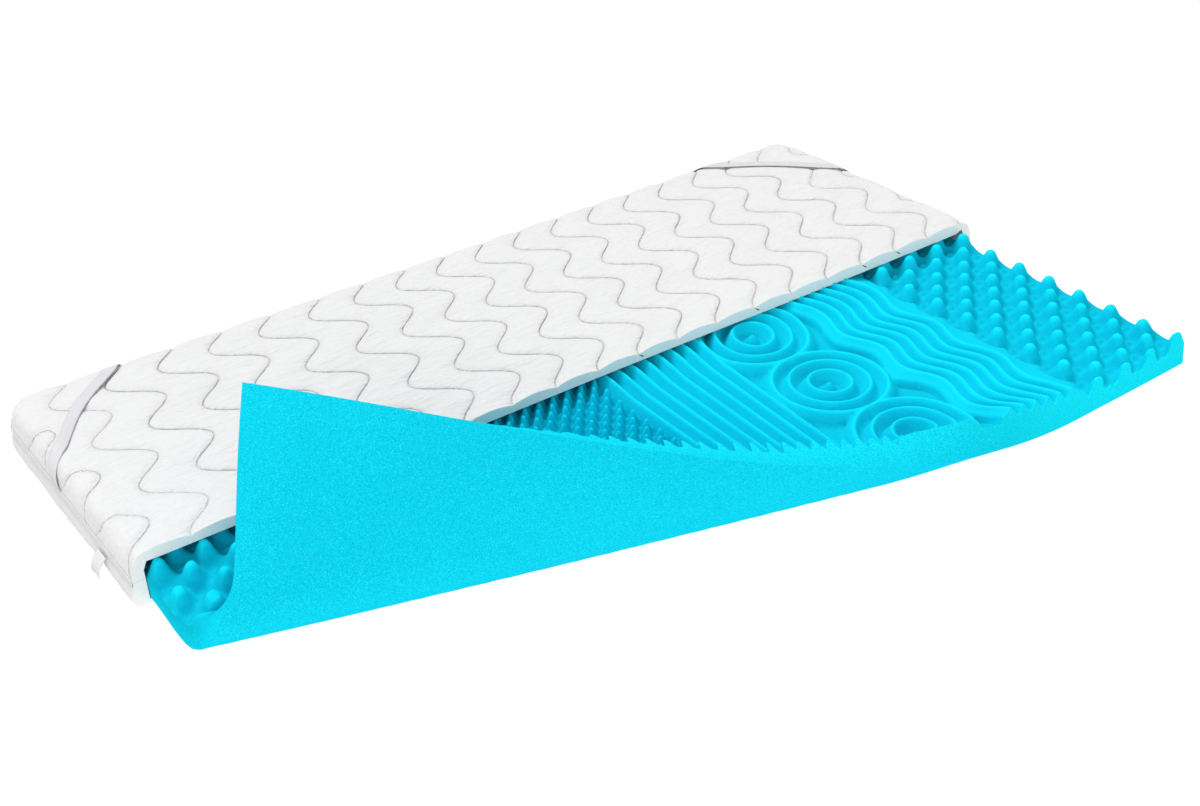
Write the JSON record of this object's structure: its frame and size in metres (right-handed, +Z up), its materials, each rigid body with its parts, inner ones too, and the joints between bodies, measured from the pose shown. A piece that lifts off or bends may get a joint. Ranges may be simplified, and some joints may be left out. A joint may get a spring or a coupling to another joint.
{
  "type": "mattress topper",
  "caption": "Cut-away mattress topper: profiled foam core with its front corner curled back, half covered by a padded, wave-quilted cover with corner straps.",
  "frame": {"origin": "middle of the box round the whole part, at the height of the underside", "axes": "+X along the length to the end that isn't curled, +Y from the foam's front edge to the cover's back, +Z up"},
  "size_m": [2.0254, 1.2324, 0.3704],
  "materials": {
    "foam": "soft matte cyan foam",
    "quilted_fabric": "white jersey, quilted",
    "base_fabric": "white jersey, plain",
    "tape": "white woven tape",
    "strap": "white elastic webbing",
    "label": "plain white satin tape"
  },
  "bodies": {
    "root": {"core": "foam", "cover_top": "quilted_fabric", "cover_bottom": "base_fabric", "edge_tape": "tape", "strap_back_left": "strap", "strap_back_right": "strap", "label": "label"}
  },
  "joints": []
}
